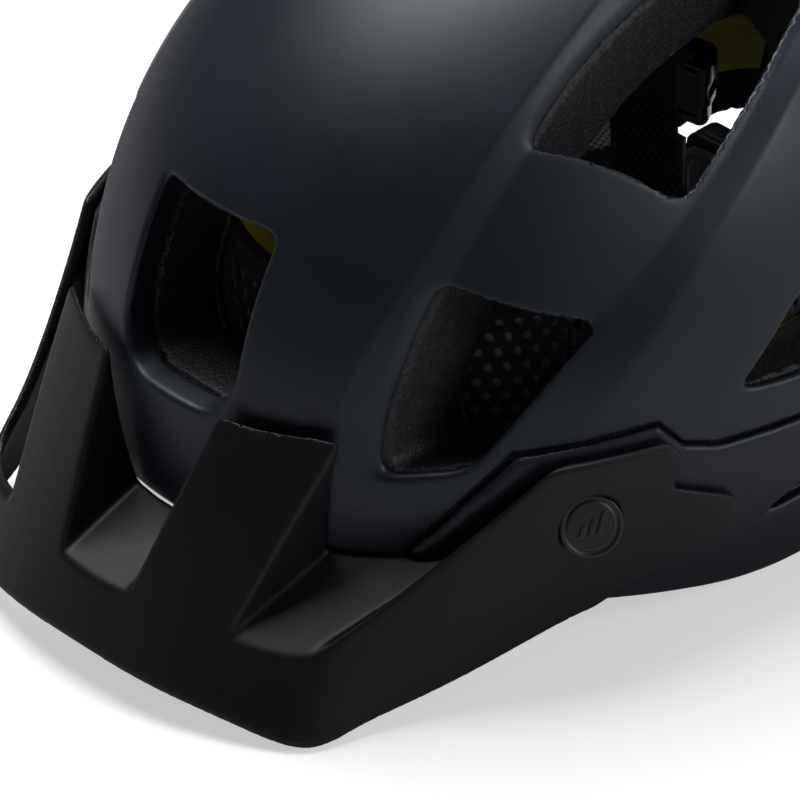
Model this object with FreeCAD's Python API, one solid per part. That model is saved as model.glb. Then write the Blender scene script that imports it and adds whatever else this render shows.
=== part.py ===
import FreeCAD, Part
import math
import os

# Mountain bike helmet, medium/large (55-59 cm head), standing as it is put down:
# on the two corners of its visor and on the lowest part of its side rims.
# Millimetres. X is sideways (+X = the wearer's left), -Y is the front, +Z is up.
# The finished helmet has its origin on the ground under the middle of its length. While it is
# built, y is counted from a little further back, about where the dome's middle stands.

V = FreeCAD.Vector

# ---------------------------------------------------------------- driving dimensions
SHELL_CENTRE = V(0, 2, 57)        # middle of the dome, at its widest height
SHELL_HALF = (103.5, 139, 120.6)  # dome half width, half length, height above the middle
DOME_POWER = 2.1                  # a little fuller than an ellipsoid
SHELL_WALL = 1.6                  # polycarbonate skin
SKIN_GAP = 0.15                   # glue line between skin and foam
CAVITY_HALF = (83, 109, 93)       # foam inner surface: half width, half length, height
SLIP_GAP = 1.6                    # free space that lets the low-friction liner turn
SLIP_WALL = 0.9
CHANNEL_DEPTH = 3.0               # how far the vent channels lie below the panels

WRAP_PROUD = 1.5                  # lower shell stands this far out of the dome
WRAP_GAP = 0.2

VISOR_WALL = 2.6
VISOR_TILT = 8                    # degrees that the visor lifts from its lowest stop
VISOR_CLEAR = 0.7                 # free air kept between visor and shell while it tilts
PIVOT = V(91.5, -75.8, 45.7)      # outer face of the visor at its left pivot
CAP_RADIUS = 8.4
CAP_FACING = V(0.82, -0.44, 0.36)  # the flush cap follows the visor's face, not the pivot axis
CAP_DEPTH = 1.5
BOSS_RADIUS = 11
SCREW_RADIUS = 2.5

RIM_LIFT_FOAM = 2.5               # foam ends this far above the shell's rim
RIM_LIFT_SLIP = 17                # slip liner ends this far above the rim

STRAP_WIDTH = 18
STRAP_THICK = 1.6

DIAL_HEIGHT = 24                  # axis of the fit dial above the ground
DIAL_RADIUS = 12
HOUSING_FRONT = 84                # front face of the dial housing
HOUSING_BACK = 93
HOUSING_HALF = 30                 # half its width
PINION_PITCH_RADIUS = 5
PINION_TEETH = 8
CRADLE_LEAN = 12.7                # degrees that its tongue leans back
BAND_HEIGHT = 12
BAND_THICK = 1.8
RUNNING_GAP = 0.06                # radial clearance of a turning shaft

DIVIDER_X = 44                    # strap dividers: middle of the plate
DIVIDER_HEIGHT = 18

TO_MIDDLE = V(0, 14.21, 0)        # from the building origin to the finished origin
FAR = 400                         # larger than the helmet, for cutting tools


# ---------------------------------------------------------------- dome surfaces
def smooth(value, low, high):
    """0 below low, 1 above high, with a soft start and end."""
    s = min(1.0, max(0.0, (value - low) / (high - low)))
    return s * s * (3 - 2 * s)


def ridge_inner(y):
    """Sideways place of the edge between the centre panel and the vent channel."""
    if y > -24:
        return 50.8 - 0.15 * (y + 24)
    return 58 - ((y + 88) / (24 if y > -88 else 12)) ** 2


def ridge_outer(y):
    """Sideways place of the edge between the vent channel and the side panel."""
    if y > 10:
        return 77.5 - 0.35 * (y - 10)
    return 88.4 - ((y + 46) / (17 if y > -46 else 13)) ** 2


def relief(p):
    """How far the skin stands out of the plain dome at p: the channels are sunk."""
    x = abs(p.x)
    inner = smooth(x, ridge_inner(p.y) - 5, ridge_inner(p.y) + 2)
    outer = 1 - smooth(x, ridge_outer(p.y) - 3, ridge_outer(p.y) + 3)
    fade = smooth(p.z, 50, 75) * (1 - smooth(p.y, 70, 115))
    return -CHANNEL_DEPTH * inner * outer * fade


def dome_radius(direction, half):
    a, b, h = half
    flat = math.hypot(direction.x / a, direction.y / b)
    return (flat ** DOME_POWER + abs(direction.z / h) ** DOME_POWER) ** (-1 / DOME_POWER)


def dome_point(u, v, half, offset, relieved):
    """Point of a dome for u, v in -1..1; (0, 0) is the top and |u|,|v| = 1 is under the rim."""
    p = u * math.sqrt(1 - v * v / 2)
    q = v * math.sqrt(1 - u * u / 2)
    reach = math.hypot(p, q)
    fall = math.radians(132) * reach
    side = math.sin(fall) / reach if reach > 1e-9 else 0
    direction = V(p * side, q * side, math.cos(fall))
    radius = dome_radius(direction, half)
    if relieved:
        radius += relief(SHELL_CENTRE + direction * radius)
    return SHELL_CENTRE + direction * (radius + offset)


def dome_face(half, offset, relieved):
    count = 57 if relieved else 25
    steps = [2 * i / (count - 1) - 1 for i in range(count)]
    grid = [[dome_point(u, v, half, offset, relieved) for v in steps] for u in steps]
    surface = Part.BSplineSurface()
    surface.interpolate(grid)
    return surface.toShape()


def solid_between(outer, inner):
    """Closed solid between two faces whose four edges follow each other in order."""
    walls = [Part.makeRuledSurface(a, b) for a, b in zip(outer.Edges, inner.Edges)]
    shell = Part.makeShell([outer, inner] + walls)
    shell.sewShape()
    solid = Part.Solid(shell)
    solid.fix(1e-3, 1e-3, 1e-2)
    if solid.Volume < 0:
        solid.reverse()
    return solid


def dome_layer(half_out, out, half_in, inn, relieved_out=False, relieved_in=False):
    return solid_between(dome_face(half_out, out, relieved_out), dome_face(half_in, inn, relieved_in))


# ---------------------------------------------------------------- small tools
def polygon_prism(points, axis, low, high):
    """Prism on a closed outline. axis 'x': points are (y, z); 'y': (x, z); 'z': (x, y)."""
    place = {
        "x": lambda a, b: V(low, a, b),
        "y": lambda a, b: V(a, low, b),
        "z": lambda a, b: V(a, b, low),
    }[axis]
    along = {"x": V(1, 0, 0), "y": V(0, 1, 0), "z": V(0, 0, 1)}[axis]
    corners = [place(a, b) for a, b in points]
    face = Part.Face(Part.makePolygon(corners + corners[:1]))
    return face.extrude(along * (high - low))


def rounded_prism(points, axis, low, high, radius):
    """The same prism with its long edges rounded."""
    body = polygon_prism(points, axis, low, high)
    along = {"x": V(1, 0, 0), "y": V(0, 1, 0), "z": V(0, 0, 1)}[axis]
    long_edges = [e for e in body.Edges if abs(abs(e.tangentAt(e.FirstParameter).dot(along)) - 1) < 1e-6]
    return body.makeFillet(radius, long_edges)


def mirrored(shape):
    return shape.mirror(V(0, 0, 0), V(1, 0, 0))


def pair(shape):
    """The shape and its mirror image on the other side of the helmet."""
    return [shape, mirrored(shape)]


def trimmed(block, point, normal):
    """The block without what lies beyond the plane through point, on the normal's side."""
    beyond = Part.makeBox(FAR, FAR, FAR, V(-FAR / 2, -FAR / 2, 0))
    place = FreeCAD.Placement(point, FreeCAD.Rotation(V(0, 0, 1), normal))
    return block.cut(beyond.transformGeometry(place.toMatrix()))


def ribbon(stations, width, thick):
    """Flat strip through stations, each (centre, width direction, face direction)."""
    wires = []
    for centre, wide, face in stations:
        w = V(wide).normalize() * (width / 2)
        f = V(face).normalize() * (thick / 2)
        corners = [centre - w - f, centre + w - f, centre + w + f, centre - w + f]
        wires.append(Part.makePolygon(corners + corners[:1]))
    return Part.makeLoft(wires, True, False)


def group(shapes):
    return Part.makeCompound(shapes)


# ---------------------------------------------------------------- rim and vents
RIM_SIDE_VIEW = [(-150, 38), (-126, 32), (-100, 23.5), (-73, 15.5), (-47, 9), (-20, 2.5),
                 (4, 0), (34, 0), (60, 6), (88, 22), (116, 42), (150, 62)]


def below_rim(lift):
    """Everything lower than the rim line raised by lift."""
    line = [(y, z + lift) for y, z in RIM_SIDE_VIEW]
    return polygon_prism(line + [(150, -60), (-150, -60)], "x", -150, 150)


FRONT_VENT = [(-20, 118.5), (20, 118.5), (20, 78), (14, 70), (-14, 70), (-20, 78)]
TEMPLE_VENT = [(55.5, 111), (81.5, 97), (78, 81), (69.5, 62.5), (53.5, 61), (51.8, 66)]
CROWN_VENT = [(55.5, -65), (81.5, -35), (77.5, -8), (64.5, 26), (46, 24), (50, -28)]
SIDE_VENT = [(-31, 70), (-9, 90), (34, 96), (52, 84), (38, 68), (-8, 65.5)]
REAR_CROWN_VENT = [(46, 36), (64, 38), (54, 78), (40, 92), (32, 88)]
REAR_VENT = [(9, 126), (22, 121), (34, 92), (30, 78), (9, 82)]
REAR_SIDE_VENT = [(42, 106), (62, 88), (66, 66), (46, 72)]
STRAP_PORT = [(-21, 27), (18, 45), (28, 38), (24, 28)]


def vent_tools(spread):
    """Cutting tools of all vents; spread widens each outline."""
    def wider(points):
        mx = sum(p[0] for p in points) / len(points)
        my = sum(p[1] for p in points) / len(points)
        moved = []
        for px, py in points:
            d = math.hypot(px - mx, py - my)
            moved.append((px + (px - mx) * spread / d, py + (py - my) * spread / d))
        return moved

    tools = [rounded_prism(wider(FRONT_VENT), "y", -170, -50, 3.5)]
    tools += pair(rounded_prism(wider(TEMPLE_VENT), "y", -150, -22, 3.5))
    tools += pair(rounded_prism(wider(CROWN_VENT), "z", 82, 200, 3.5))
    tools += pair(rounded_prism(wider(SIDE_VENT), "x", 58, 120, 3.5))
    tools += pair(rounded_prism(wider(REAR_CROWN_VENT), "z", 85, 200, 3))
    tools += pair(rounded_prism(wider(REAR_VENT), "y", 62, 160, 3))
    tools += pair(rounded_prism(wider(REAR_SIDE_VENT), "y", 40, 150, 3))
    return tools


# ---------------------------------------------------------------- fixed parts
SPLIT_SIDE_VIEW = [(-112, 20), (-109, 40), (-100, 54), (-89, 66.5), (-55, 68), (-48, 60), (-38, 56.5),
                   (-12, 54), (40, 52), (95, 58), (150, 62)]


def wrap_zone(grow):
    """Side-view block that the lower shell fills, grown by grow at its top edge."""
    line = [(y, z + grow) for y, z in SPLIT_SIDE_VIEW]
    return polygon_prism(line + [(150, -60), (-112, -60)], "x", -150, 150)


def make_upper_shell():
    skin = dome_layer(SHELL_HALF, 0, SHELL_HALF, -SHELL_WALL, True, True)
    return skin.cut([wrap_zone(WRAP_GAP), below_rim(0)] + vent_tools(0))


def make_lower_shell():
    skin = dome_layer(SHELL_HALF, WRAP_PROUD, SHELL_HALF, -SHELL_WALL)
    ports = pair(rounded_prism(STRAP_PORT, "x", 60, 130, 1.4))
    holes = pair(pivot_hole(BOSS_RADIUS + 0.5, 60, 130))
    wrap = skin.common(wrap_zone(0))
    return wrap.cut([below_rim(0)] + ports + holes + vent_tools(0))


def pivot_hole(radius, low, high):
    return Part.makeCylinder(radius, high - low, V(low, PIVOT.y, PIVOT.z), V(1, 0, 0))


def make_foam():
    outer = -SHELL_WALL - SKIN_GAP
    foam = dome_layer(SHELL_HALF, outer, CAVITY_HALF, 0, True, False)
    ports = pair(rounded_prism(STRAP_PORT, "x", 88, 130, 1.4))
    sockets = pair(pivot_hole(INSERT_RADIUS + 0.2, PIVOT.x - 17, 130))
    sockets += pair(pivot_hole(BOSS_RADIUS + 0.5, PIVOT.x - 9, 130))
    sockets += anchor_cylinders(ANCHOR_RADIUS + 0.3, 0, 25)
    sockets += plug_cylinders(PLUG_RADIUS + 0.2, 9)
    return foam.cut([below_rim(RIM_LIFT_FOAM)] + ports + sockets + strap_grooves() + vent_tools(0.6))


INSERT_RADIUS = 7
ANCHOR_RADIUS = 6
PLUG_RADIUS = 5
STRAP_ANCHORS = [V(82, -44, 0), V(77, 62, 0)]
PLUG_DIRECTIONS = [V(0.25, -0.5, 0.83), V(0.25, 0.45, 0.83)]


def anchor_cylinders(radius, low, high):
    made = []
    for spot in STRAP_ANCHORS:
        made += pair(Part.makeCylinder(radius, high - low, V(spot.x, spot.y, low)))
    return made


def plug_cylinders(radius, length):
    """Cylinders from the foam's inner surface outwards."""
    made = []
    for direction in PLUG_DIRECTIONS:
        d = V(direction).normalize()
        start = SHELL_CENTRE + d * dome_radius(d, CAVITY_HALF)
        made += pair(Part.makeCylinder(radius, length, start, d))
    return made


def make_inserts():
    """Threaded sleeves in the foam that the visor screws turn into."""
    sleeve = pivot_hole(INSERT_RADIUS, PIVOT.x - 16.5, PIVOT.x - 9.2)
    sleeve = sleeve.cut(pivot_hole(SCREW_RADIUS + RUNNING_GAP, PIVOT.x - 20, PIVOT.x))
    return group(pair(sleeve))


HEAD_RADIUS = 4.8


def make_screws():
    """The two visor screws: a shank in the sleeve and a flat head with a cross slot."""
    head_back = PIVOT.x - 6.6
    head_front = PIVOT.x - 5.2
    shank = pivot_hole(SCREW_RADIUS, PIVOT.x - 13, head_back + 0.2)
    screw = shank.fuse(pivot_hole(HEAD_RADIUS, head_back, head_front))
    slots = [box(head_front - 0.9, head_front + 1, PIVOT.y - a, PIVOT.y + a, PIVOT.z - b, PIVOT.z + b)
             for a, b in ((3, 0.5), (0.5, 3))]
    return group(pair(screw.cut(slots).removeSplitter()))


def cap_disc(radius, inward, outward):
    """Disc about the pivot's outer face, square to the face of the visor there."""
    facing = V(CAP_FACING).normalize()
    return Part.makeCylinder(radius, inward + outward, PIVOT - facing * inward, facing)


def make_cap():
    """Flush cap over a visor screw, with a ring groove."""
    cap = cap_disc(CAP_RADIUS, CAP_DEPTH, 0.5)
    groove = cap_disc(CAP_RADIUS - 0.8, -0.1, 1).cut(cap_disc(CAP_RADIUS - 1.4, -0.2, 2))
    return cap.cut(groove)


def make_anchors():
    return group(anchor_cylinders(ANCHOR_RADIUS, 13, 24.5))


def make_plugs():
    return group(plug_cylinders(PLUG_RADIUS, 8.5))


# ---------------------------------------------------------------- visor
VISOR_TOP = [(0, -140, 79), (21, -136, 77.8), (36, -131, 76), (50, -124, 74), (63, -114, 71), (76, -101, 68),
             (87, -86, 65.5), (96, -66, 65.4), (100.5, -51, 65), (103.5, -34, 62)]
VISOR_EDGE = [(0, -171, 10.5), (27, -168.5, 8.8), (50, -161, 5), (66, -151.5, 1.4), (70.5, -138, 3), (76, -120, 6.5),
              (82.5, -98, 11.5), (89, -76, 17), (96, -58, 20), (102.5, -34, 26)]
RIB_INNER = (V(21, -136, 77.8), V(12.5, -136, 36.5), V(12.3, -167.5, 25.5))
RIB_OUTER = (V(50, -124, 74), V(45.3, -119.5, 39.5), V(40.6, -159.5, 22.8))
SIDE_FLOOR_FRONT = V(58.5, -150, 21)
SIDE_FLOOR_REAR = V(76, -103, 47)
ARM_OUTLINE = [(-190, -20), (-190, 120), (-87, 120), (-87, 65.2), (-55, 65), (-51, 59.5), (-53, 50),
               (-35, 41), (-31, 37), (-37, 29), (-47, 25), (-61, 23.5), (-70, 19), (-80, 14), (-80, -20)]


def rail(points):
    """The rail from the right side over the middle to the left side."""
    left = [V(*p) for p in points]
    right = [V(-p.x, p.y, p.z) for p in reversed(left[1:])]
    return right + left


def visor_sheet(depth):
    """Solid sheet of the visor, from its outer face inwards by depth."""
    top = rail(VISOR_TOP)
    edge = rail(VISOR_EDGE)
    wires = []
    for i, (a, b) in enumerate(zip(top, edge)):
        before = max(i - 1, 0)
        after = min(i + 1, len(top) - 1)
        along = top[after] - top[before]
        inward = (b - a).cross(along).normalize() * depth
        if inward.dot(V(0, -40, 40) - a) < 0:
            inward = inward * -1
        wires.append(Part.makePolygon([a, b, b + inward, a + inward, a]))
    return Part.makeLoft(wires, True, False)


def plane_normal(a, b, c, away_from):
    n = (b - a).cross(c - a).normalize()
    return n if n.dot(away_from - a) < 0 else n * -1


def wedge(planes, grow):
    """Space inside the planes (point, outward normal), each moved outwards by grow."""
    block = Part.makeBox(FAR / 2, FAR / 2, FAR / 2, V(-FAR / 4, -200, -40))
    for point, normal in planes:
        block = trimmed(block, point + normal * grow, normal)
    return block


def side_pocket(grow):
    inside = V(57, -125, 60)
    top, rear, front = RIB_OUTER
    floor = plane_normal(rear, front, SIDE_FLOOR_FRONT, inside)
    rib_wall = plane_normal(top, rear, front, inside)
    arm_top = V(86, -88, 65)
    arm_wall = plane_normal(SIDE_FLOOR_FRONT, SIDE_FLOOR_REAR, arm_top, V(60, -118, 45))
    return wedge([(rear, floor), (rear, rib_wall), (SIDE_FLOOR_FRONT, arm_wall)], grow)


def centre_pocket(grow):
    inside = V(0, -140, 70)
    top, rear, front = RIB_INNER
    mirror_rear = V(-rear.x, rear.y, rear.z)
    floor = plane_normal(rear, front, mirror_rear, inside)
    wall = plane_normal(top, rear, front, inside)
    mirror_wall = V(-wall.x, wall.y, wall.z)
    return wedge([(rear, floor), (rear, wall), (mirror_rear, mirror_wall)], grow)


def make_visor():
    sheet = visor_sheet(VISOR_WALL)
    deep = visor_sheet(34)
    pockets = [centre_pocket(0)] + pair(side_pocket(0))
    linings = [centre_pocket(VISOR_WALL)] + pair(side_pocket(VISOR_WALL))
    lined = [deep.common(block) for block in linings]
    visor = sheet.fuse(lined).cut(pockets)
    visor = visor.common(polygon_prism(ARM_OUTLINE, "x", -150, 150))
    dome = dome_layer(SHELL_HALF, VISOR_CLEAR, (60, 90, 70), 0)
    wrap = dome_layer(SHELL_HALF, WRAP_PROUD + VISOR_CLEAR, (60, 90, 70), 0).common(wrap_zone(VISOR_CLEAR))
    steps = 3
    for i in range(steps + 1):
        for keep_out in (dome, wrap):
            turned = keep_out.copy()
            turned.rotate(V(0, PIVOT.y, PIVOT.z), V(1, 0, 0), VISOR_TILT * i / steps)
            visor = visor.cut(turned)
    bosses = pair(pivot_hole(BOSS_RADIUS, PIVOT.x - 8.5, PIVOT.x - 1.2))
    visor = visor.fuse([boss.common(deep) for boss in bosses])
    recess = pair(cap_disc(CAP_RADIUS + 0.25, CAP_DEPTH + 0.1, 12))
    bores = pair(pivot_hole(SCREW_RADIUS + RUNNING_GAP, 60, 130))
    heads = pair(pivot_hole(HEAD_RADIUS + 0.2, PIVOT.x - 6.7, 130))
    return visor.cut(recess + bores + heads)


# ---------------------------------------------------------------- slip liner and pads
def lining_layer(outer_drop, inner_drop):
    """Layer inside the foam, between two depths below the foam's inner surface."""
    return dome_layer(CAVITY_HALF, -outer_drop, CAVITY_HALF, -inner_drop)


SLIP_OUT = SLIP_GAP
SLIP_IN = SLIP_GAP + SLIP_WALL
DOT_IN = SLIP_IN + 1.0
PAD_OUT = DOT_IN + 0.1
PAD_IN = PAD_OUT + 4.6

BROW_PAD = [(-150, 50), (-150, 88), (-95, 88), (-36, 96), (-36, 58), (-80, 50)]
TEMPLE_PAD = [(-28, 58), (-28, 96), (24, 100), (24, 60)]
CROWN_PAD = [(-13, -58), (13, -58), (13, 52), (-13, 52)]
SIDE_PAD = [(22, -60), (38, -66), (40, 40), (24, 44)]
DOT_SPOTS = [V(0, -46, 0), V(0, 38, 0)]


def make_slip_liner():
    liner = lining_layer(SLIP_OUT, SLIP_IN)
    return liner.cut([below_rim(RIM_LIFT_SLIP)] + vent_tools(0.4))


def make_pad(outline, axis, low, high, radius):
    zone = rounded_prism(outline, axis, low, high, radius)
    return lining_layer(PAD_OUT, PAD_IN).common(zone)


def make_brow_pad():
    return make_pad(BROW_PAD, "x", -120, 120, 5)


def make_temple_pad():
    return make_pad(TEMPLE_PAD, "x", 20, 120, 8)


def make_crown_pad():
    return make_pad(CROWN_PAD, "z", 80, 200, 7)


def make_side_pad():
    return make_pad(SIDE_PAD, "z", 80, 200, 5)


def make_dots():
    """Hook dots on the liner that hold the crown and side pads."""
    layer = lining_layer(SLIP_IN, DOT_IN)
    posts = [Part.makeCylinder(6, 140, spot + V(0, 0, 70)) for spot in DOT_SPOTS]
    posts += pair(Part.makeCylinder(6, 140, V(31, -40, 70))) + pair(Part.makeCylinder(6, 140, V(31, 22, 70)))
    return group([layer.common(post) for post in posts])


# ---------------------------------------------------------------- fit cradle and dial
def about_dial(shape, degrees):
    turned = shape.copy()
    turned.rotate(V(0, 0, DIAL_HEIGHT), V(0, 1, 0), degrees)
    return turned


def dial_cylinder(radius, low, high):
    return Part.makeCylinder(radius, high - low, V(0, low, DIAL_HEIGHT), V(0, 1, 0))


def box(x0, x1, y0, y1, z0, z1):
    return Part.makeBox(x1 - x0, y1 - y0, z1 - z0, V(x0, y0, z0))


SLOT_FRONT = HOUSING_FRONT + 2.2
SLOT_BACK = SLOT_FRONT + 3.0
RACK_FRONT = SLOT_FRONT + 0.4
RACK_BACK = SLOT_BACK - 0.4
RACK_ROOT = 6                     # rack body starts this far from the dial axis
RACK_TOP = 9
SLOT_HALF = RACK_TOP + 0.4
HOUSING_HALF_HEIGHT = 13
TONGUE_HALF = 7
TONGUE_THICK = 1.6
TONGUE_LENGTH = 34


def leaning(shape):
    """Leans a shape back about the top edge of the housing."""
    turned = shape.copy()
    turned.rotate(V(0, HOUSING_BACK, DIAL_HEIGHT + HOUSING_HALF_HEIGHT), V(1, 0, 0), -CRADLE_LEAN)
    return turned


def tongue(grow, low, high):
    top = DIAL_HEIGHT + HOUSING_HALF_HEIGHT
    return leaning(box(-TONGUE_HALF - grow, TONGUE_HALF + grow, HOUSING_BACK - 3 - grow,
                       HOUSING_BACK - 3 + TONGUE_THICK + grow, top + low, top + high))


def make_housing():
    bottom = DIAL_HEIGHT - HOUSING_HALF_HEIGHT
    top = DIAL_HEIGHT + HOUSING_HALF_HEIGHT
    body = box(-HOUSING_HALF, HOUSING_HALF, SLOT_FRONT, HOUSING_BACK, bottom, top)
    upright = [e for e in body.Edges if abs(e.tangentAt(e.FirstParameter).y) > 0.99]
    body = body.makeFillet(5, upright)
    slot = box(-FAR, FAR, SLOT_FRONT, SLOT_BACK, DIAL_HEIGHT - SLOT_HALF, DIAL_HEIGHT + SLOT_HALF)
    shaft = dial_cylinder(2.5 + RUNNING_GAP, SLOT_BACK - 1, HOUSING_BACK + 1)
    return body.cut([slot, shaft]).fuse(tongue(0, -2, TONGUE_LENGTH)).removeSplitter()


def make_housing_cover():
    bottom = DIAL_HEIGHT - HOUSING_HALF_HEIGHT
    top = DIAL_HEIGHT + HOUSING_HALF_HEIGHT
    plate = box(-HOUSING_HALF, HOUSING_HALF, HOUSING_FRONT, SLOT_FRONT - 0.05, bottom, top)
    return plate.makeFillet(5, [e for e in plate.Edges if abs(e.tangentAt(e.FirstParameter).y) > 0.99])


def make_cradle_pad():
    bottom = DIAL_HEIGHT - HOUSING_HALF_HEIGHT + 2
    top = DIAL_HEIGHT + HOUSING_HALF_HEIGHT - 2
    pad = box(-HOUSING_HALF + 3, HOUSING_HALF - 3, HOUSING_FRONT - 5, HOUSING_FRONT - 0.3, bottom, top)
    return pad.makeFillet(2, pad.Edges)


def pinion_tooth():
    """One tooth that points up, from inside the root circle to its tip."""
    root, tip = PINION_PITCH_RADIUS - 1.4, PINION_PITCH_RADIUS + 0.8
    outline = [(-0.85, DIAL_HEIGHT + root), (-0.35, DIAL_HEIGHT + tip), (0.35, DIAL_HEIGHT + tip),
               (0.85, DIAL_HEIGHT + root)]
    return polygon_prism(outline, "y", RACK_FRONT, RACK_BACK)


def make_dial_pinion():
    hub = dial_cylinder(PINION_PITCH_RADIUS - 1.2, RACK_FRONT, RACK_BACK)
    teeth = [about_dial(pinion_tooth(), 360 / PINION_TEETH * i) for i in range(PINION_TEETH)]
    shaft = dial_cylinder(2.5, RACK_BACK - 0.5, HOUSING_BACK + 2)
    return hub.fuse(teeth + [shaft]).removeSplitter()


def make_dial_knob():
    knob = dial_cylinder(DIAL_RADIUS, HOUSING_BACK + 0.4, HOUSING_BACK + 8)
    bore = dial_cylinder(2.5 + RUNNING_GAP / 2, HOUSING_BACK, HOUSING_BACK + 2.1)
    knob = knob.makeChamfer(1.0, [e for e in knob.Edges if e.BoundBox.YMin > HOUSING_BACK + 7])
    notch = Part.makeCylinder(1.7, 12, V(0, HOUSING_BACK + 1.6, DIAL_HEIGHT + DIAL_RADIUS + 0.7), V(0, 1, 0))
    grips = [about_dial(notch, 360 / 14 * i) for i in range(14)]
    return knob.cut([bore] + grips)


def rack(side):
    """Toothed strip. The left band's rack runs above the pinion, the right one's below it."""
    half_pitch = math.pi * PINION_PITCH_RADIUS / PINION_TEETH
    z = DIAL_HEIGHT
    strip = box(-12, 38, RACK_FRONT, RACK_BACK, z + RACK_ROOT, z + RACK_TOP)
    teeth = []
    for i in range(-3, 9):
        x = (2 * i + 1) * half_pitch
        outline = [(x - 0.85, z + RACK_ROOT + 0.5), (x + 0.85, z + RACK_ROOT + 0.5),
                   (x + 0.35, z + RACK_ROOT - 1.8), (x - 0.35, z + RACK_ROOT - 1.8)]
        teeth.append(polygon_prism(outline, "y", RACK_FRONT, RACK_BACK))
    made = strip.fuse(teeth)
    return made if side > 0 else about_dial(made, 180)


BAND_LINE = [(36, 87.7), (43, 83.5), (50.5, 70.5), (58.5, 49.5), (63, 22), (63.7, 5), (63, -13.5)]


def make_band(side):
    stations = []
    for i, (x, y) in enumerate(BAND_LINE):
        before = BAND_LINE[max(i - 1, 0)]
        after = BAND_LINE[min(i + 1, len(BAND_LINE) - 1)]
        along = V(after[0] - before[0], after[1] - before[1], 0)
        if i == 0:
            along = V(1, 0, 0)
        face = along.cross(V(0, 0, 1))
        stations.append((V(x, y, DIAL_HEIGHT), V(0, 0, 1), face))
    band = ribbon(stations, BAND_HEIGHT, BAND_THICK)
    band = band if side > 0 else mirrored(band)
    web = box(34, 38, RACK_FRONT, RACK_BACK, DIAL_HEIGHT - 6, DIAL_HEIGHT + RACK_ROOT + 0.5)
    web = web if side > 0 else about_dial(web, 180)
    return rack(side).fuse([web, band]).removeSplitter()


def make_cradle_guide():
    """Bracket on the slip liner that the cradle's tongue slides in."""
    top = DIAL_HEIGHT + HOUSING_HALF_HEIGHT
    block = leaning(box(-11, 11, HOUSING_BACK - 6, HOUSING_BACK + 14, top + 22, top + 36))
    channel = tongue(0.3, -10, 100)
    beyond = lining_layer(SLIP_IN + 0.1, SLIP_IN + 40)
    return block.common(beyond).cut(channel)


# ---------------------------------------------------------------- straps
def make_divider():
    plate = box(DIVIDER_X - 2, DIVIDER_X + 2, -10, 14, DIVIDER_HEIGHT - 8, DIVIDER_HEIGHT + 8)
    plate = plate.makeFillet(1.2, plate.Edges)
    ears = [box(DIVIDER_X - 5.5, DIVIDER_X - 1, 10.5, 14, DIVIDER_HEIGHT - 8, DIVIDER_HEIGHT - 6),
            box(DIVIDER_X - 5.5, DIVIDER_X - 1, 10.5, 14, DIVIDER_HEIGHT + 6, DIVIDER_HEIGHT + 8)]
    pin = Part.makeCylinder(0.9, 16, V(DIVIDER_X - 4, 12.2, DIVIDER_HEIGHT - 8))
    return plate.fuse(ears + [pin]).removeSplitter()


def make_cam():
    lever = box(DIVIDER_X - 5, DIVIDER_X - 3, -8, 12.2, DIVIDER_HEIGHT - 5.6, DIVIDER_HEIGHT + 5.6)
    eye = Part.makeCylinder(1.7, 11.2, V(DIVIDER_X - 4, 12.2, DIVIDER_HEIGHT - 5.6))
    bore = Part.makeCylinder(0.9 + RUNNING_GAP, 12, V(DIVIDER_X - 4, 12.2, DIVIDER_HEIGHT - 6))
    return lever.fuse(eye).cut(bore).removeSplitter()


def strap(points, turns, grow=0):
    """Webbing through points; turns gives the width direction at each point."""
    stations = []
    for i, (centre, wide) in enumerate(zip(points, turns)):
        along = V(*points[min(i + 1, len(points) - 1)]) - V(*points[max(i - 1, 0)])
        side = V(*wide) - along * (V(*wide).dot(along) / along.dot(along))
        stations.append((V(*centre), side, along.cross(side)))
    return ribbon(stations, STRAP_WIDTH + 2 * grow, STRAP_THICK + 2 * grow)


def strap_grooves():
    """Room in the foam for the webbing between its anchors and the rim."""
    return pair(strap(FRONT_STRAP[:4], FRONT_TURNS, 0.4)) + pair(strap(REAR_STRAP[:5], REAR_TURNS, 0.4))


FRONT_STRAP = [(82, -44, 12.4), (79, -42, 9), (70, -35, 8.5), (61, -27, 11), (51, -19, 16.5), (44.5, -12, 18)]
FRONT_TURNS = [(0.6, 0.8, 0), (0.6, 0.8, 0), (0.6, 0.8, 0), (0.5, 0.65, 0.5), (0.2, 0.2, 0.95), (0, 0, 1)]
REAR_STRAP = [(77, 62, 12.4), (75, 59, 8.5), (66, 50, 7), (58, 38, 9), (50, 26, 15.5), (45.5, 18, 17)]
REAR_TURNS = [(-0.8, 0.6, 0), (-0.8, 0.6, 0), (-0.8, 0.5, 0.1), (-0.6, 0.4, 0.5), (-0.25, 0.15, 0.95), (0, 0, 1)]
CHIN_LEFT = [(44, 2, 27), (43, 3, 40), (33, 9, 60), (15, 21, 80), (0, 37, 93), (-6, 50, 91)]
CHIN_LEFT_TURNS = [(0, 1, 0), (0, 1, 0.1), (0.3, 1, 0.2), (0.62, 0.78, 0), (0.75, 0.35, -0.5), (0.95, 0.1, -0.25)]
CHIN_RIGHT = [(-29, 76, 43), (-36, 67, 42), (-41, 50, 48), (-43, 32, 53), (-43.5, 14, 49), (-44, 4, 38),
              (-44, 2, 28.2)]
CHIN_RIGHT_TURNS = [(0.9, 0.4, 0), (0.8, 0.5, -0.1), (0.6, 0.3, -0.6), (0.2, 0.1, -0.95), (0, 0.75, -0.65),
                    (0, 1, -0.1), (0, 1, 0)]
BUCKLE_START = V(-7, 53, 89)
BUCKLE_END = V(-28, 75, 45)
BUCKLE_WIDE = V(0.92, 0.35, -0.1)


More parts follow.
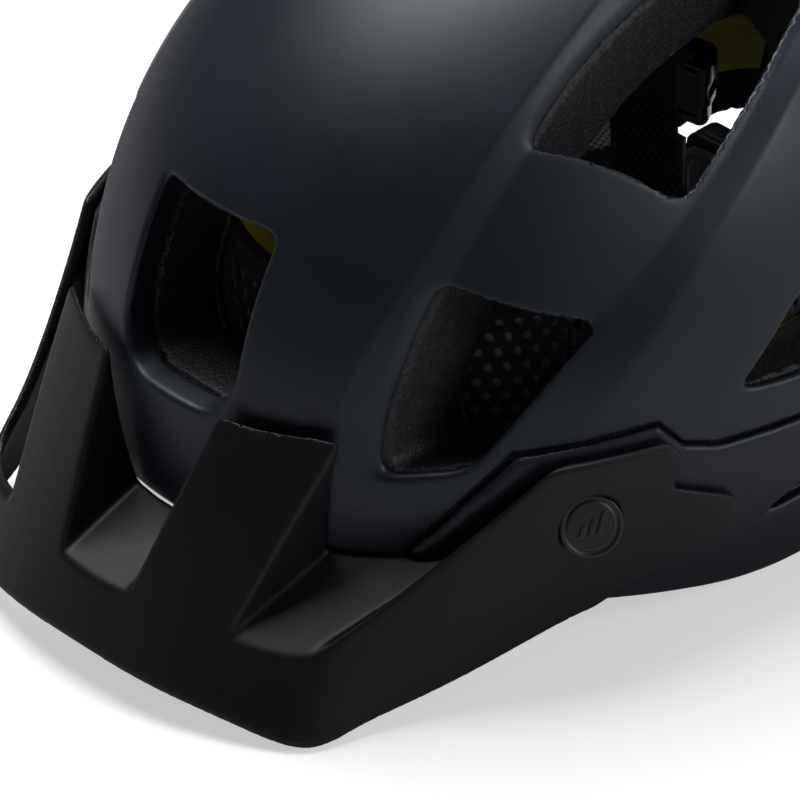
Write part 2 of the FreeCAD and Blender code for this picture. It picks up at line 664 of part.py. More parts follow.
def buckle_frame():
    """Placement whose X is the buckle's length, Y its width and Z its thickness."""
    along = (BUCKLE_END - BUCKLE_START).normalize()
    wide = (BUCKLE_WIDE - along * BUCKLE_WIDE.dot(along)).normalize()
    up = along.cross(wide)
    turn = FreeCAD.Rotation(along, wide, up, "XYZ")
    return FreeCAD.Placement(BUCKLE_START, turn)


def make_buckle_socket():
    body = box(0, 28, -13, 13, -4.2, 4.2)
    body = body.makeFillet(3, [e for e in body.Edges if abs(e.tangentAt(e.FirstParameter).x) > 0.99])
    mouth = box(8, 40, -10.5, 10.5, -2.4, 2.4)
    windows = box(13, 22, -20, 20, -2.4, 2.4)
    slot = box(2.5, 5, -9.6, 9.6, -10, 10)
    return body.cut([mouth, windows, slot]).transformGeometry(buckle_frame().toMatrix())


def make_buckle_plug():
    stem = box(28.3, 42, -12, 12, -3.4, 3.4)
    stem = stem.makeFillet(2.5, [e for e in stem.Edges if abs(e.tangentAt(e.FirstParameter).x) > 0.99])
    prongs = [box(10, 29, y, y + 4, -2, 2) for y in (-10, 6)] + [box(9, 29, -1.5, 1.5, -1.6, 1.6)]
    hooks = [box(14, 21, y, y + 3, -2, 2) for y in (-12, 9)]
    neck = box(26.5, 29, -10, 10, -2, 2)
    slot = box(35, 37.5, -9.6, 9.6, -10, 10)
    plug = stem.fuse(prongs + hooks + [neck]).cut(slot).removeSplitter()
    return plug.transformGeometry(buckle_frame().toMatrix())


PARTS = {
    "upper_shell": make_upper_shell,
    "lower_shell": make_lower_shell,
    "eps_liner": make_foam,
    "pivot_inserts": make_inserts,
    "pivot_screws": make_screws,
    "pivot_cap_left": make_cap,
    "pivot_cap_right": lambda: mirrored(make_cap()),
    "strap_anchors": make_anchors,
    "liner_plugs": make_plugs,
    "visor": make_visor,
    "slip_liner": make_slip_liner,
    "brow_pad": make_brow_pad,
    "temple_pad_left": make_temple_pad,
    "temple_pad_right": lambda: mirrored(make_temple_pad()),
    "crown_pad": make_crown_pad,
    "side_pad_left": make_side_pad,
    "side_pad_right": lambda: mirrored(make_side_pad()),
    "pad_dots": make_dots,
    "cradle_guide": make_cradle_guide,
    "dial_housing": make_housing,
    "housing_cover": make_housing_cover,
    "cradle_pad": make_cradle_pad,
    "dial_pinion": make_dial_pinion,
    "dial_knob": make_dial_knob,
    "band_left": lambda: make_band(1),
    "band_right": lambda: make_band(-1),
    "divider_left": make_divider,
    "divider_right": lambda: mirrored(make_divider()),
    "cam_left": make_cam,
    "cam_right": lambda: mirrored(make_cam()),
    "strap_front_left": lambda: strap(FRONT_STRAP, FRONT_TURNS),
    "strap_front_right": lambda: mirrored(strap(FRONT_STRAP, FRONT_TURNS)),
    "strap_rear_left": lambda: strap(REAR_STRAP, REAR_TURNS),
    "strap_rear_right": lambda: mirrored(strap(REAR_STRAP, REAR_TURNS)),
    "chin_strap_left": lambda: strap(CHIN_LEFT, CHIN_LEFT_TURNS),
    "chin_strap_right": lambda: strap(CHIN_RIGHT, CHIN_RIGHT_TURNS),
    "buckle_socket": make_buckle_socket,
    "buckle_plug": make_buckle_plug,
}

os.makedirs("parts", exist_ok=True)
for name, make in PARTS.items():
    shape = make()
    shape.translate(TO_MIDDLE)
    shape.exportStep("parts/" + name + ".step")
    print(name, len(shape.Solids), round(shape.Volume), shape.isValid())
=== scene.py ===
import math
import bmesh
import bpy
import numpy as np
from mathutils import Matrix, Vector
from mathutils.bvhtree import BVHTree


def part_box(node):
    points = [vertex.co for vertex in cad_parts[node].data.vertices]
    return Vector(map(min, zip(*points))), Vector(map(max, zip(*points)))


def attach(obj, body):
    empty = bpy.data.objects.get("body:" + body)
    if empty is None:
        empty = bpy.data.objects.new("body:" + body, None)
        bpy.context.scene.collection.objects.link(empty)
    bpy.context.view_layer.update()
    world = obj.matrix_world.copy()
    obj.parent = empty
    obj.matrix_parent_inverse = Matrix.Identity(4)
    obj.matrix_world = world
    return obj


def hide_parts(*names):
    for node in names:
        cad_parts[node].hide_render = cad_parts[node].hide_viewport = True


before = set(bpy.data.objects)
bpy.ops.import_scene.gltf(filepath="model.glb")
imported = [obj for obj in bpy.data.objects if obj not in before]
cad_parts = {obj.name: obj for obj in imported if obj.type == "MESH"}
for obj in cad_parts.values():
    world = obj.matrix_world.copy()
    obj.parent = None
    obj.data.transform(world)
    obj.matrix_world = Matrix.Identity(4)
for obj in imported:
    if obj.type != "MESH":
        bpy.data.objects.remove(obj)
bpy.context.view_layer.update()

# Shapes are worked out in millimetres, y counted from the place the CAD source counts from, and
# are put into the row frame by place(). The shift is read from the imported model.
Y0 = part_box("lower_shell")[1].y * 1000 - 142.5
CENTRE = np.array([0.0, 2.0, 57.0])
HALF = np.array([103.5, 139.0, 120.6])
CAVITY = np.array([83.0, 109.0, 93.0])
POWER = 2.1
PIVOT = np.array([91.5, -75.8, 45.7])


def place(v):
    return (np.asarray(v, float) + (0, Y0, 0)) * 0.001


# ------------------------------------------------------------------ fields (negative inside)
def sm(v, lo, hi):
    s = np.clip((v - lo) / (hi - lo), 0, 1)
    return s * s * (3 - 2 * s)


def smax(a, b, k):
    h = np.maximum(k - np.abs(a - b), 0) / k
    return np.maximum(a, b) + h * h * k / 4


def smin(a, b, k):
    return -smax(-a, -b, k)


def ridge_inner(y):
    t = (y + 88) / np.where(y > -88, 24.0, 12.0)
    return np.where(y > -24, 50.8 - 0.15 * (y + 24), 58 - t * t)


def ridge_outer(y):
    t = (y + 46) / np.where(y > -46, 17.0, 13.0)
    return np.where(y > 10, 77.5 - 0.35 * (y - 10), 88.4 - t * t)


def bevel(v, lo, hi):
    """0 below lo, 1 above hi, straight between them with tight corners."""
    s = (v - lo) / (hi - lo)
    return smin(smax(s, s * 0, 0.12), s * 0 + 1, 0.12)


def relief(q):
    x = np.abs(q[:, 0])
    y = np.clip(q[:, 1], -150, 150)
    inner = bevel(x, ridge_inner(y) - 5, ridge_inner(y) + 1.5)
    outer = 1 - bevel(x, ridge_outer(y) - 2.5, ridge_outer(y) + 2.5)
    fade = sm(q[:, 2], 50, 75) * (1 - sm(y, 70, 115))
    return -3.0 * inner * outer * fade


def dome(p, half=HALF, carved=False):
    d = p - CENTRE
    r = np.maximum(np.sqrt((d * d).sum(1)), 1e-6)
    u = d / r[:, None]
    flat = np.hypot(u[:, 0] / half[0], u[:, 1] / half[1])
    edge = (flat ** POWER + np.abs(u[:, 2] / half[2]) ** POWER) ** (-1 / POWER)
    if carved:
        edge = edge + relief(CENTRE + u * edge[:, None])
    return r - edge


def convex(a, b, pts, k=4.2):
    """Field of a rounded convex outline in two coordinates."""
    mx = sum(q[0] for q in pts) / len(pts)
    my = sum(q[1] for q in pts) / len(pts)
    f = None
    for i in range(len(pts)):
        (x0, y0), (x1, y1) = pts[i], pts[(i + 1) % len(pts)]
        nx, ny = y1 - y0, x0 - x1
        s = math.hypot(nx, ny)
        if nx * (mx - x0) + ny * (my - y0) > 0:
            s = -s
        g = ((a - x0) * nx + (b - y0) * ny) / s
        f = g if f is None else smax(f, g, k)
    return f


def smooth_line(pts, per=4):
    p = np.array(pts, float)
    out = []
    for i in range(len(p) - 1):
        a, b, c, d = p[max(i - 1, 0)], p[i], p[i + 1], p[min(i + 2, len(p) - 1)]
        for j in range(per):
            t = j / per
            out.append(0.5 * (2 * b + (c - a) * t + (2 * a - 5 * b + 4 * c - d) * t * t
                              + (3 * b - a - 3 * c + d) * t ** 3))
    out.append(p[-1])
    return np.array(out)


class Outline:
    """Signed distance to a closed (y, z) outline, kept as a table. Negative inside."""

    def __init__(self, pts, step=0.5, margin=16):
        p = np.array(pts, float)
        self.lo = p.min(0) - margin
        n = np.ceil((p.max(0) + margin - self.lo) / step).astype(int) + 1
        a = self.lo[0] + step * np.arange(n[0])[:, None]
        b = self.lo[1] + step * np.arange(n[1])[None, :]
        best = np.full(n, 1e9)
        inside = np.zeros(n, bool)
        for i in range(len(p)):
            (x0, y0), (x1, y1) = p[i], p[(i + 1) % len(p)]
            ex, ey = x1 - x0, y1 - y0
            t = np.clip(((a - x0) * ex + (b - y0) * ey) / (ex * ex + ey * ey), 0, 1)
            best = np.minimum(best, np.hypot(a - x0 - t * ex, b - y0 - t * ey))
            if abs(ey) > 1e-9:
                cross = (y0 > b) != (y1 > b)
                inside ^= cross & (a < (b - y0) * ex / ey + x0)
        self.table = np.where(inside, -best, best)
        self.step, self.n = step, n

    def __call__(self, a, b):
        u = np.clip((a - self.lo[0]) / self.step, 0, self.n[0] - 1.001)
        v = np.clip((b - self.lo[1]) / self.step, 0, self.n[1] - 1.001)
        i, j = u.astype(int), v.astype(int)
        s, t = u - i, v - j
        g = self.table
        return ((g[i, j] * (1 - s) + g[i + 1, j] * s) * (1 - t)
                + (g[i, j + 1] * (1 - s) + g[i + 1, j + 1] * s) * t)


RIM_LINE = [(-150, 38), (-126, 32), (-100, 23.5), (-73, 15.5), (-47, 9), (-20, 2.5), (4, 0), (34, 0), (60, 6),
            (88, 22), (116, 42), (150, 62)]
SPLIT_LINE = [(-112, 20), (-109, 40), (-100, 54), (-89, 66.5), (-55, 68), (-48, 60), (-38, 56.5), (-12, 54),
              (40, 52), (95, 58), (150, 62)]
rim_raw = smooth_line(RIM_LINE)
rim_raw[:, 1] = np.maximum(rim_raw[:, 1], 0)
rim_zone = Outline(list(map(tuple, rim_raw)) + [(150, -40), (-150, -40)])
wrap_zone = Outline(SPLIT_LINE + [(150, -40), (-112, -40)])


def rim(p, lift=0.0):
    return rim_zone(p[:, 1], p[:, 2] - lift)


VENTS = [
    ("y", -170, -50, [(-20, 118.5), (20, 118.5), (20, 78), (14, 70), (-14, 70), (-20, 78)]),
    ("y", -150, -22, [(55.5, 111), (81.5, 97), (78, 81), (69.5, 62.5), (53.5, 61), (51.8, 66)]),
    ("z", 82, 220, [(55.5, -65), (81.5, -35), (77.5, -8), (64.5, 26), (46, 24), (50, -28)]),
    ("x", 58, 140, [(-31, 70), (-9, 90), (34, 96), (52, 84), (38, 68), (-8, 65.5)]),
    ("z", 85, 220, [(46, 36), (64, 38), (54, 78), (40, 92), (32, 88)]),
    ("y", 62, 190, [(9, 126), (22, 121), (34, 92), (30, 78), (9, 82)]),
    ("y", 40, 190, [(42, 106), (62, 88), (66, 66), (46, 72)]),
]
STRAP_PORT = [(-21, 27), (18, 45), (28, 38), (24, 28)]


def vents(p):
    x, y, z = np.abs(p[:, 0]), p[:, 1], p[:, 2]
    f = np.full(len(p), 60.0)
    for axis, low, high, pts in VENTS:
        if axis == "x":
            a, b, c = y, z, x
        elif axis == "y":
            a, b, c = x, z, y
        else:
            a, b, c = x, y, z
        near = (c > low - 12) & (c < high + 12)
        if not near.any():
            continue
        g = convex(a[near], b[near], pts)
        g = np.maximum(g, np.maximum(low - c[near], c[near] - high))
        f[near] = np.minimum(f[near], g)
    return f


def port(p):
    return np.maximum(convex(p[:, 1], p[:, 2], STRAP_PORT, 2.4), 60 - np.abs(p[:, 0]))


def pivot_bore(p, radius, low=60.0):
    d = np.hypot(p[:, 1] - PIVOT[1], p[:, 2] - PIVOT[2]) - radius
    return np.maximum(d, low - np.abs(p[:, 0]))


def lip_depth(p):
    """How far the skin turns into each vent: the front vent has a deep lip, the others a short one."""
    front = (np.abs(p[:, 0]) < 34) & (p[:, 1] < -60)
    return np.where(front, 9.0, 3.2)


SKIN_WALL = 2.2  # drawn thicker than the real skin, inwards, so that the grid can't miss it
SKIN_WALL_FOR_GRID = 2.9
FOAM_INSET = 2.3  # foam surface below the dome, clear of the skin


def upper_shell(p, wall=SKIN_WALL):
    d = dome(p, HALF, True)
    v = vents(p)
    skin = smax(d, -v, 2.0)
    f = np.maximum(skin, -(skin + wall))
    f = smax(f, -(d + lip_depth(p)), 1.6)
    f = smax(f, 0.2 - wrap_zone(p[:, 1], p[:, 2]), 1.6)
    return smax(f, -rim(p), 1.6)


def lower_shell(p):
    d = dome(p)
    f = np.maximum(d - 1.5, -(d + 1.6))
    f = smax(f, wrap_zone(p[:, 1], p[:, 2]), 2.6)
    f = smax(f, -rim(p), 2.6)
    f = smax(f, -port(p), 2.2)
    f = smax(f, -pivot_bore(p, 11.5), 0.8)
    return smax(f, -vents(p), 2.0)


def foam(p):
    d = dome(p, HALF, True)
    v = vents(p)
    lip = 0.1 + 2.2 * sm(d, -lip_depth(p) - 1.2, -lip_depth(p) - 0.2)
    f = smax(d + FOAM_INSET, lip - v, 1.6)
    f = smax(f, -dome(p, CAVITY), 1.6)
    f = smax(f, -rim(p, 2.5), 2.2)
    f = smax(f, -np.maximum(port(p), 88 - np.abs(p[:, 0])), 1.0)
    f = smax(f, -pivot_bore(p, 11.5, PIVOT[0] - 9), 0.6)
    return smax(f, -pivot_bore(p, 7.2, PIVOT[0] - 17), 0.6)


def slip_liner(p, wall=0.9):
    """Thin low-friction layer inside the foam. Its vents are a little wider than the foam's."""
    c = dome(p, CAVITY) + 1.6
    f = np.maximum(c, -(c + wall))
    f = smax(f, 2.4 - vents(p), 0.5)
    return smax(f, -rim(p, 17), 0.8)


# ------------------------------------------------------------------ meshes from fields
CORNERS = np.array([(0, 0, 0), (1, 0, 0), (0, 1, 0), (1, 1, 0), (0, 0, 1), (1, 0, 1), (0, 1, 1), (1, 1, 1)])
EDGES = [(0, 1), (2, 3), (4, 5), (6, 7), (0, 2), (1, 3), (4, 6), (5, 7), (0, 4), (1, 5), (2, 6), (3, 7)]


def evaluate(field, p, chunk=400000):
    return np.concatenate([field(p[i:i + chunk]) for i in range(0, len(p), chunk)])


def gradient(field, p, eps):
    g = np.empty_like(p)
    for i in range(3):
        e = np.zeros(3)
        e[i] = eps
        g[:, i] = (evaluate(field, p + e) - evaluate(field, p - e)) / (2 * eps)
    return g


def surface(field, lo, hi, step, relax=2, eps=0.3, thick=None):
    """Quads on the field's zero surface, their points and normals. thick is the same field with a thicker
    wall, which the grid can't miss."""
    thick = thick or field
    lo = np.array(lo, float) - 2.3 * step
    nb = np.ceil((np.array(hi, float) + 2.3 * step - lo) / (4 * step)).astype(int)
    blocks = np.stack(np.meshgrid(*[np.arange(n) for n in nb], indexing="ij"), -1).reshape(-1, 3)
    mid = evaluate(thick, lo + step * (4 * blocks + 1.5))
    near = np.abs(mid) < 5.2 * step
    values = np.where(mid < 0, -9.0, 9.0)[:, None] * np.ones((1, 64))
    sub = np.stack(np.meshgrid(*[np.arange(4)] * 3, indexing="ij"), -1).reshape(-1, 3)
    pts = (4 * blocks[near][:, None, :] + sub[None]).reshape(-1, 3) * step + lo
    values[near] = evaluate(thick, pts).reshape(-1, 64)
    grid = values.reshape(nb[0], nb[1], nb[2], 4, 4, 4).transpose(0, 3, 1, 4, 2, 5).reshape(nb * 4)
    inside = grid < 0
    n = np.array(grid.shape)
    count = np.zeros(n - 1, np.int8)
    for c in CORNERS:
        count += inside[c[0]:n[0] - 1 + c[0], c[1]:n[1] - 1 + c[1], c[2]:n[2] - 1 + c[2]]
    mixed = (count > 0) & (count < 8)
    ijk = np.argwhere(mixed)
    index = np.full(n - 1, -1)
    index[mixed] = np.arange(len(ijk))
    f = [grid[tuple((ijk + c).T)] for c in CORNERS]
    total, hits = np.zeros((len(ijk), 3)), np.zeros(len(ijk))
    for a, b in EDGES:
        m = (f[a] < 0) != (f[b] < 0)
        t = f[a][m] / (f[a][m] - f[b][m])
        total[m] += CORNERS[a] + t[:, None] * (CORNERS[b] - CORNERS[a])
        hits[m] += 1
    verts = lo + step * (ijk + total / hits[:, None])
    quads = []
    for axis in range(3):
        u, v = (axis + 1) % 3, (axis + 2) % 3
        first = [slice(1, -1)] * 3
        first[axis] = slice(0, -1)
        second = list(first)
        second[axis] = slice(1, None)
        cross = np.argwhere(inside[tuple(first)] != inside[tuple(second)])
        for i in range(3):
            cross[:, i] += first[i].start
        du, dv = np.zeros(3, int), np.zeros(3, int)
        du[u], dv[v] = 1, 1
        q = np.stack([index[tuple((cross - du - dv).T)], index[tuple((cross - dv).T)],
                      index[tuple(cross.T)], index[tuple((cross - du).T)]], 1)
        back = ~inside[tuple(cross.T)]
        q[back] = q[back][:, ::-1]
        quads.append(q)
    quads = np.concatenate(quads)
    quads = quads[(quads >= 0).all(1)]

    def project(v, times):
        for _ in range(times):
            value = evaluate(field, v)
            g = gradient(field, v, 0.15)
            move = g * (value / np.maximum((g * g).sum(1), 0.05))[:, None]
            size = np.linalg.norm(move, axis=1)
            v = v - move * np.minimum(1, 0.6 * step / np.maximum(size, 1e-9))[:, None]
        return v

    verts = project(verts, 4 if thick is not field else 2)
    for _ in range(relax):
        total, hits = np.zeros_like(verts), np.zeros(len(verts))
        for k in range(4):
            a, b = quads[:, k], quads[:, (k + 1) % 4]
            for i in range(3):
                total[:, i] += np.bincount(a, verts[b, i], len(verts))
                total[:, i] += np.bincount(b, verts[a, i], len(verts))
            hits += np.bincount(a, minlength=len(verts)) + np.bincount(b, minlength=len(verts))
        mean = total / np.maximum(hits, 1)[:, None]
        verts = project(verts * 0.45 + mean * 0.55, 1)
    g = gradient(field, verts, eps)
    return verts, quads, g / np.maximum(np.linalg.norm(g, axis=1), 1e-9)[:, None]


def mesh_object(name, verts, faces, normals=None, material=None):
    me = bpy.data.meshes.new(name)
    faces = np.asarray(faces)
    me.vertices.add(len(verts))
    me.vertices.foreach_set("co", place(verts).astype(np.float32).ravel())
    me.loops.add(faces.size)
    me.loops.foreach_set("vertex_index", faces.astype(np.int32).ravel())
    me.polygons.add(len(faces))
    me.polygons.foreach_set("loop_start", np.arange(0, faces.size, faces.shape[1], dtype=np.int32))
    me.polygons.foreach_set("loop_total", np.full(len(faces), faces.shape[1], np.int32))
    me.update(calc_edges=True)
    me.validate()
    me.polygons.foreach_set("use_smooth", np.ones(len(me.polygons), bool))
    if normals is not None and len(me.vertices) == len(normals):
        me.normals_split_custom_set_from_vertices(normals.astype(np.float32))
    o = bpy.data.objects.new(name, me)
    bpy.context.scene.collection.objects.link(o)
    if material:
        me.materials.append(material)
    return o


def field_piece(name, field, lo, hi, step, body, nodes, material, relax=2, eps=0.3,
                thick=None):
    verts, quads, normals = surface(field, lo, hi, step, relax, eps, thick)
    o = mesh_object(name, verts, quads, normals, material)
    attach(o, body)
    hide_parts(*nodes)
    print(name, len(verts), len(quads))
    return o


# ------------------------------------------------------------------ materials
class Nodes:
    """Small helper that builds a material's node tree."""

    def __init__(self, name):
        self.mat = bpy.data.materials.new(name)
        self.mat.use_nodes = True
        self.tree = self.mat.node_tree
        self.bsdf = self.tree.nodes["Principled BSDF"]
        self.coord = self.tree.nodes.new("ShaderNodeTexCoord").outputs["Object"]

    def add(self, kind, inputs=None, **settings):
        n = self.tree.nodes.new(kind)
        for k, v in settings.items():
            setattr(n, k, v)
        for k, v in (inputs or {}).items():
            self.put(n.inputs[k], v)
        return n

    def put(self, socket, value):
        if isinstance(value, bpy.types.NodeSocket):
            self.tree.links.new(value, socket)
        else:
            socket.default_value = value

    def noise(self, scale, detail=2.0, rough=0.5):
        args = {"Vector": self.coord, "Scale": scale, "Detail": detail, "Roughness": rough}
        return self.add("ShaderNodeTexNoise", args).outputs["Fac"]

    def ramp(self, fac, stops):
        n = self.add("ShaderNodeValToRGB", {"Fac": fac})
        n.color_ramp.elements[0].position = stops[0][0]
        n.color_ramp.elements[0].color = (*stops[0][1], 1)
        n.color_ramp.elements[1].position = stops[-1][0]
        n.color_ramp.elements[1].color = (*stops[-1][1], 1)
        for at, c in stops[1:-1]:
            n.color_ramp.elements.new(at).color = (*c, 1)
        return n.outputs["Color"]

    def math(self, operation, a, b=0.0):
        n = self.add("ShaderNodeMath", operation=operation)
        self.put(n.inputs[0], a)
        self.put(n.inputs[1], b)
        return n.outputs[0]

    def range(self, v, a, b, c, d):
        return self.add("ShaderNodeMapRange", {"Value": v, "From Min": a, "From Max": b, "To Min": c,
                                               "To Max": d}).outputs["Result"]

    def bump(self, height, strength, distance, normal=None):
        n = self.add("ShaderNodeBump", {"Height": height, "Strength": strength, "Distance": distance})
        if normal:
            self.put(n.inputs["Normal"], normal)
        return n.outputs["Normal"]

    def finish(self, color, rough, normal=None, **more):
        self.put(self.bsdf.inputs["Base Color"], color if not isinstance(color, tuple) else (*color, 1))
        self.put(self.bsdf.inputs["Roughness"], rough)
        if normal:
            self.put(self.bsdf.inputs["Normal"], normal)
        for k, v in more.items():
            self.put(self.bsdf.inputs[k.replace("_", " ")], v)
        return self.mat


def grain_plastic(name, color, rough, grain=5200, strength=0.12, dust=0.3, spec=0.42, tint=(1, 1, 1)):
    """Matte moulded or painted plastic: fine grain, slow tone changes and faint handling marks."""
    m = Nodes(name)
    slow = m.noise(26, 3)
    fine = m.noise(grain, 1)
    streak = m.noise(420, 5, 0.65)
    c = m.ramp(slow, [(0.3, tuple(x * 0.82 for x in color)), (0.7, tuple(x * 1.2 for x in color))])
    r = m.range(m.math("ADD", m.math("MULTIPLY", streak, dust), m.math("MULTIPLY", slow, 1 - dust)),
                0.3, 0.7, rough - 0.05, rough + 0.05)
    n = m.bump(fine, strength, 0.00006)
    n = m.bump(slow, 0.05, 0.0006, n)
    return m.finish(c, r, n, Specular_IOR_Level=spec, Specular_Tint=(*tint, 1))


def mix_color(m, kind, factor, a, b):
    n = m.add("ShaderNodeMix", data_type="RGBA", blend_type=kind)
    m.put(n.inputs[0], factor)
    m.put(n.inputs[6], a if not isinstance(a, tuple) else (*a, 1))
    m.put(n.inputs[7], b if not isinstance(b, tuple) else (*b, 1))
    return n.outputs[2]


def make_foam_material():
    m = Nodes("foam_beads")
    args = {"Vector": m.coord, "Scale": 480.0, "Randomness": 1.0}
    edge = m.add("ShaderNodeTexVoronoi", args, feature="DISTANCE_TO_EDGE").outputs["Distance"]
    speck = m.noise(1500, 4, 0.7)
    patch = m.noise(300, 3)
    c = m.ramp(speck, [(0.45, (0.0085, 0.009, 0.0105)), (0.6, (0.02, 0.021, 0.024)),
                       (0.74, (0.12, 0.125, 0.14))])
    shade = m.ramp(patch, [(0.35, (0.55, 0.55, 0.55)), (0.65, (1.25, 1.25, 1.25))])
    c = mix_color(m, "MULTIPLY", 0.7, c, shade)
    c = mix_color(m, "MULTIPLY", 0.6, c, m.ramp(edge, [(0.0, (0.6, 0.6, 0.6)), (0.1, (1, 1, 1))]))
    n = m.bump(m.range(edge, 0, 0.2, 0, 1), 0.35, 0.0003)
    n = m.bump(speck, 0.5, 0.0002, n)
    return m.finish(c, 0.55, n, Specular_IOR_Level=0.45)


def make_webbing_material():
    """Basket woven polyester: the weave follows the object's own UV layer (metres along, across)."""
    m = Nodes("webbing_weave")
    uv = m.add("ShaderNodeUVMap").outputs["UV"]
    split = m.add("ShaderNodeSeparateXYZ", {"Vector": uv})
    along, across = split.outputs["X"], split.outputs["Y"]
    rows = m.math("SINE", m.math("MULTIPLY", along, 2 * math.pi / 0.0027))
    ends = m.math("SINE", m.math("MULTIPLY", across, 2 * math.pi / 0.0021))
    weave = m.math("ADD", m.math("MULTIPLY", m.math("MULTIPLY", rows, ends), 0.5), 0.5)
    fuzz = m.noise(3800, 3)
    c = m.ramp(weave, [(0.3, (0.003, 0.003, 0.004)), (0.85, (0.085, 0.087, 0.1))])
    n = m.bump(weave, 1.0, 0.0004)
    n = m.bump(fuzz, 0.25, 0.0001, n)
    return m.finish(c, 0.7, n, Sheen_Weight=0.25, Sheen_Roughness=0.4)


def make_pad_material():
    """Brushed spacer mesh: fine knit cells over a soft nap."""
    m = Nodes("pad_mesh")
    args = {"Vector": m.coord, "Scale": 900.0, "Randomness": 0.25}
    cell = m.add("ShaderNodeTexVoronoi", args, feature="DISTANCE_TO_EDGE").outputs["Distance"]
    fuzz = m.noise(5200, 4)
    slow = m.noise(45, 3)
    c = m.ramp(cell, [(0.0, (0.009, 0.0092, 0.01)), (0.3, (0.004, 0.004, 0.0045))])
    c = mix_color(m, "MULTIPLY", 0.5, c, m.ramp(slow, [(0.3, (0.7, 0.7, 0.7)), (0.7, (1.3, 1.3, 1.3))]))
    hole = m.add("ShaderNodeAttribute", attribute_name="hole").outputs["Fac"]
    c = mix_color(m, "MIX", hole, c, (0.2, 0.205, 0.225))
    n = m.bump(cell, -0.6, 0.0003)
    n = m.bump(fuzz, 0.4, 0.00012, n)
    return m.finish(c, 0.85, n, Sheen_Weight=0.35, Sheen_Roughness=0.5)


def make_metal(name, color, rough):
    m = Nodes(name)
    brushed = m.noise(900, 6, 0.7)
    c = m.ramp(brushed, [(0.3, tuple(x * 0.85 for x in color)), (0.7, color)])
    return m.finish(c, m.range(brushed, 0.3, 0.7, rough - 0.06, rough + 0.08), m.bump(brushed, 0.15, 0.00005),
                    Metallic=1.0)


SHELL = grain_plastic("shell_satin", (0.0062, 0.0085, 0.0145), 0.46, 4800, 0.12, 0.35, 0.5, (0.85, 0.93, 1.0))
WRAP = grain_plastic("wrap_satin", (0.0062, 0.008, 0.013), 0.45, 4800, 0.12, 0.35, 0.42, (0.86, 0.93, 1.0))
VISOR = grain_plastic("visor_matte", (0.0062, 0.0062, 0.0078), 0.44, 3600, 0.25, 0.3, 0.3, (0.95, 0.94, 1.0))
TRIM = grain_plastic("cap_satin", (0.016, 0.017, 0.02), 0.42, 3000, 0.15, 0.3, 0.5)
NYLON = grain_plastic("nylon_black", (0.018, 0.018, 0.02), 0.45, 2600, 0.3, 0.4, 0.45)
ACETAL = grain_plastic("acetal_gloss", (0.012, 0.0125, 0.014), 0.24, 1800, 0.06, 0.4, 0.5)
SOFT = grain_plastic("soft_touch", (0.02, 0.02, 0.022), 0.68, 2200, 0.3, 0.3, 0.3)
YELLOW = grain_plastic("slip_yellow", (0.36, 0.33, 0.015), 0.36, 2000, 0.05, 0.4, 0.5)
HOOK = grain_plastic("hook_tape", (0.02, 0.02, 0.022), 0.85, 1100, 0.9, 0.2, 0.2)
FOAM = make_foam_material()
WEBBING = make_webbing_material()
PAD = make_pad_material()
BRASS = make_metal("brass", (0.72, 0.52, 0.22), 0.35)
STEEL = make_metal("zinc_steel", (0.5, 0.5, 0.52), 0.32)

CAD_MATERIALS = {
    "pivot_inserts": BRASS, "pivot_screws": STEEL, "strap_anchors": NYLON, "liner_plugs": SOFT,
    "slip_liner": YELLOW, "pad_dots": HOOK, "cradle_guide": NYLON, "dial_housing": NYLON,
    "housing_cover": NYLON, "dial_pinion": NYLON, "band_left": NYLON, "band_right": NYLON,
    "divider_left": NYLON, "divider_right": NYLON, "cam_left": NYLON, "cam_right": NYLON,
    "pivot_cap_left": TRIM, "pivot_cap_right": TRIM, "dial_knob": SOFT, "buckle_socket": ACETAL,
    "buckle_plug": ACETAL, "visor": VISOR, "upper_shell": SHELL, "lower_shell": WRAP, "eps_liner": FOAM,
}
for node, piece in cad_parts.items():
    material = CAD_MATERIALS.get(node, WEBBING if "strap" in node else PAD)
    piece.data.materials.clear()
    piece.data.materials.append(material)

# ------------------------------------------------------------------ shells and foam
field_piece("upper_shell_skin", upper_shell, (-105, -138, 24), (105, 143, 179), 1.3, "helmet",
            ["upper_shell"], SHELL, 4, 0.22, thick=lambda p: upper_shell(p, SKIN_WALL_FOR_GRID))
field_piece("lower_shell_skin", lower_shell, (-106, -114, -1), (106, 144, 69), 1.2, "helmet",
            ["lower_shell"], WRAP, 3)
field_piece("foam_liner", foam, (-103, -137, 1), (103, 141, 177), 1.9, "helmet",
            ["eps_liner"], FOAM, 1)
field_piece("slip_layer", slip_liner, (-82, -108, 16), (82, 112, 149.5), 1.5, "slip", ["slip_liner"],
            YELLOW, 1, thick=lambda p: slip_liner(p, 2.6))


# ------------------------------------------------------------------ crisp moulded pieces from CAD solids
def corner_normals(verts, quads):
    a, b, c, d = (verts[quads[:, k]] for k in range(4))
    face = np.cross(c - a, d - b)
    n = np.zeros_like(verts)
    for k in range(4):
        for i in range(3):
            n[:, i] += np.bincount(quads[:, k], face[:, i], len(verts))
    return n / np.maximum(np.linalg.norm(n, axis=1), 1e-12)[:, None]


